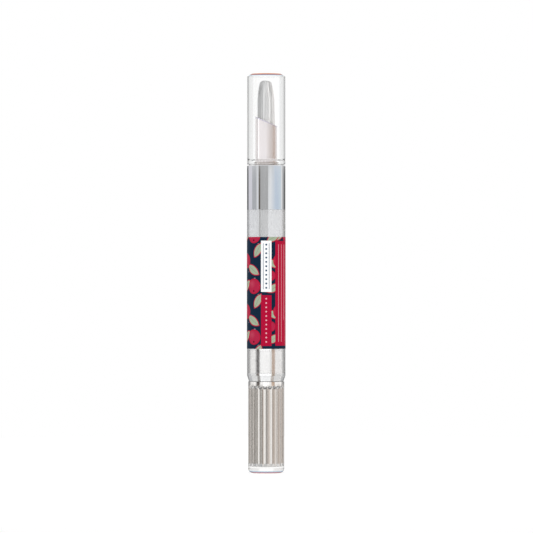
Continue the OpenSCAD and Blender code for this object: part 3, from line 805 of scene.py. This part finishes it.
def studio():
    """White for the camera; for light and reflections, rings of pale and dark cards under a bright ceiling."""
    world = bpy.data.worlds.new("studio")
    bpy.context.scene.world = world
    world.use_nodes = True
    nodes = Nodes(world.node_tree)
    x, y, z = nodes.split(nodes.add("ShaderNodeTexCoord").outputs["Generated"])
    turn = nodes.math("DEGREES", nodes.azimuth(x, y))
    path = nodes.add("ShaderNodeLightPath").outputs

    def cards(*zones):
        """A ring of cards, each between two azimuths in degrees, with the light that it gives."""
        return nodes.ramp(turn, [(edge, light) for low, high, light in zones for edge in sorted({low, high})])

    def blend(heights, first, then):
        """One light up to two heights, another past them; a height is the upward part of a ray's direction."""
        return nodes.mix(nodes.range(z, *heights, interpolation_type="SMOOTHSTEP"), first, then)

    def room(walls, ceiling, ground, low=0.45, high=0.75):
        """A ring of cards with a ceiling over it and a ground under it."""
        return blend((-low, -high), blend((low, high), walls, ceiling), ground)

    def past(depth, limit=0.5):
        """1 for a ray that has bounced that way more often than the limit."""
        return nodes.math("GREATER_THAN", path[depth], limit)

    back = 1.10  # the light behind the pen
    bare_high = cards(  # on bare surfaces, above the film's middle
        (-180, -179, back), (-178, -160, (0.02, 0.02, 0.03)), (-150, -138, (0.15, 0.155, 0.16)),
        (-130, -97, (0.66, 0.65, 0.70)), (-92, -64, (0.42, 0.43, 0.45)), (-58, -48, (0.70, 0.71, 0.73)),
        (-46, -38, (0.12, 0.105, 0.09)), (-35, 11, 0.42), (12, 26, (0.80, 0.81, 0.82)), (60, 77, (0.54, 0.62, 0.72)),
        (84, 99, (0.60, 0.68, 0.75)), (104, 108, 0.80), (121, 125, 0.38), (146, 172, 0.10), (174, 180, back))
    bare_cap = cards(  # on the clear cap
        (-180, -110, 0.72), (-90, -64, 0.80), (-40, 30, 0.50), (64, 90, 0.80), (110, 180, 0.72))
    bare_low = cards(  # on bare surfaces, below the film's middle
        (-180, -150, 0.30), (-135, -110, (0.62, 0.62, 0.63)), (-104, -66, (0.90, 0.89, 0.88)),
        (-58, -46, (0.22, 0.19, 0.17)), (-38, 28, 1.44), (36, 50, (0.50, 0.40, 0.32)), (58, 112, (0.90, 0.89, 0.88)),
        (120, 140, 0.55), (150, 180, 0.30))
    bare_knob = cards((-180, 180, 0.22))  # on the clear knob
    cap = cards(  # turned back inside the clear cap
        (-180, -155, 0.50), (-153, -110, 0.86), (-92, -64, (0.45, 0.46, 0.48)), (-46, 11, 0.60),
        (12, 88, (0.75, 0.72, 0.70)), (110, 153, 0.86), (155, 180, 0.50))
    veil = cards(  # on the collar's skirt, under the milky barrel
        (-180, -155, 0.20), (-140, -80, (0.86, 0.86, 0.88)), (-64, -64, (0.72, 0.72, 0.74)),
        (-58, -53, (0.85, 0.85, 0.86)), (-51, -42, (0.08, 0.07, 0.06)), (-39, 12, 0.42),
        (14, 120, (0.96, 0.97, 0.99)), (150, 180, 0.20))
    tail = cards(  # on the nut, under the barrel's lower end
        (-180, -150, 0.30), (-120, -84, (1.14, 1.13, 1.12)), (-66, -53, (0.02, 0.01, 0.01)), (-40, 22, 1.26),
        (24, 34, 1.04), (42, 58, (0.56, 0.40, 0.30)), (68, 120, (1.12, 1.11, 1.11)), (150, 180, 0.30))
    knob = cards(  # on the flutes, under the clear knob
        (-180, -180, 0.02), (-165, -165, (0.45, 0.42, 0.41)), (-150, -150, (0.66, 0.61, 0.57)),
        (-135, -135, (1.16, 1.12, 1.08)), (-120, -105, (0.05, 0.04, 0.02)), (-90, -90, (1.04, 1.00, 0.96)),
        (-75, -75, 0.01), (-60, -45, (0.49, 0.46, 0.43)), (-30, -30, (0.14, 0.13, 0.12)),
        (-15, -15, (1.38, 1.34, 1.31)), (0, 0, (1.16, 1.14, 1.12)), (15, 15, (0.63, 0.60, 0.57)),
        (30, 30, (0.74, 0.72, 0.71)), (45, 45, (0.95, 0.85, 0.77)), (60, 60, (0.33, 0.25, 0.19)),
        (75, 75, (0.84, 0.82, 0.82)), (90, 90, (0.43, 0.36, 0.30)), (105, 105, (0.21, 0.13, 0.07)),
        (120, 120, (1.08, 0.99, 0.91)), (135, 135, (0.02, 0.05, 0.10)), (150, 165, (1.02, 0.93, 0.87)),
        (180, 180, 0.02))
    clear = cards(  # seen straight through clear plastic
        (-180, -168, back), (-160, -112, 0.88), (-90, 90, 0.60), (112, 160, 0.88), (168, 180, back))
    clear_cap = cards(  # the same through the cap, and what its inside mirrors
        (-180, -168, back), (-160, -108, (0.88, 0.87, 0.87)), (-98, -96, 0.70), (-104, -98, (0.50, 0.48, 0.48)),
        (-92, -82, 1.90), (-72, -2, (1.14, 1.11, 1.13)), (16, 22, (0.84, 0.79, 0.78)), (42, 56, (0.60, 0.53, 0.50)),
        (76, 106, (0.38, 0.24, 0.15)), (114, 160, 0.88), (168, 180, back))
    under_low = cards((-180, -112, 0.70), (-95, 95, 0.22), (112, 180, 0.70))  # turned down by the flutes' ends
    plain = cards(  # on matt surfaces
        (-180, -150, 1.05), (-125, -65, (0.74, 0.74, 0.76)), (-40, 35, 1.20), (65, 125, (0.88, 0.76, 0.68)),
        (150, 180, 1.05))

    # A ray mirrored by an upright wall keeps its height, which tells at what height of the pen that was
    steep, foot = (-0.20, -0.10), (-0.10, -0.06)
    knob_top, film_middle = (-0.0291, -0.0287), (-0.012, -0.004)
    cap_mouth, collar_top = (0.017, 0.021), (0.0246, 0.0252)
    bare = blend(foot, bare_low, bare_knob)
    bare = blend(knob_top, bare, bare_low)
    bare = blend(film_middle, bare, bare_high)
    bare = blend(collar_top, bare, bare_cap)
    under = blend(steep, under_low, knob)
    under = blend(knob_top, under, tail)
    under = blend(film_middle, under, veil)
    under = blend(cap_mouth, under, cap)
    through = blend(cap_mouth, clear, clear_cap)
    turned_back = nodes.times(past("Glossy Depth"), nodes.minus(1.0, past("Transmission Depth", 3.5)))
    inside = nodes.mix(turned_back, room(through, 1.05, 1.0, 0.14, 0.24), room(under, 0.7, 0.7))
    light = nodes.mix(path["Is Transmission Ray"], room(bare, 1.0, 0.85), inside)
    light = nodes.mix(past("Diffuse Depth"), light, room(plain, 1.1, 0.85))
    background = nodes.add("ShaderNodeBackground")
    nodes.join(nodes.mix(path["Is Camera Ray"], light, 1.0), background.inputs["Color"])
    nodes.join(background.outputs[0], nodes.add("ShaderNodeOutputWorld").inputs["Surface"])


def floor():
    """A white round floor that keeps a soft shadow and that glossy rays pass through."""
    floor_z = -0.02
    look = Look("floor_white")
    look.tree.nodes.remove(look.shader)
    diffuse, glow = look.add("ShaderNodeBsdfDiffuse"), look.add("ShaderNodeEmission")
    look.join(look.mix(look.noise(0.02, (1, 1, 1), 2.0), 0.30, 0.31), diffuse.inputs["Color"])
    look.join(0.74, glow.inputs["Strength"])
    both, seen = look.add("ShaderNodeAddShader"), look.add("ShaderNodeMixShader")
    for shader, socket in zip((diffuse, glow), both.inputs):
        look.join(shader.outputs[0], socket)
    glossy = look.math("GREATER_THAN", look.add("ShaderNodeLightPath").outputs["Glossy Depth"], 0.5)
    clear = look.add("ShaderNodeBsdfTransparent").outputs[0]
    for source, socket in zip((glossy, both.outputs[0], clear), seen.inputs):
        look.join(source, socket)
    look.join(seen.outputs[0], look.out.inputs["Surface"])
    verts, faces = skin([ring(r, floor_z) for r in (0, 20, 60, 140, 300)])
    obj = mesh_object("floor", verts, faces, look.mat)


studio()
floor()

# The camera looks level from the front, in metres: how far off, the width of its view there, and its place
DISTANCE, VIEW_WIDTH, VIEW_X, VIEW_Z = 1.4, 0.1812, 0.000085, 0.0701
SENSOR = 36
camera = bpy.data.cameras.new("camera")
camera.sensor_width = SENSOR
camera.lens = SENSOR * DISTANCE / VIEW_WIDTH
camera.clip_start, camera.clip_end = 0.05, 10
eye = bpy.data.objects.new("camera", camera)
eye.location = (VIEW_X, -DISTANCE, VIEW_Z)
eye.rotation_euler = (math.pi / 2, 0, 0)
bpy.context.collection.objects.link(eye)
bpy.context.scene.camera = eye
bpy.context.scene.view_settings.view_transform = "Standard"
bpy.context.scene.cycles.blur_glossy = 0.0
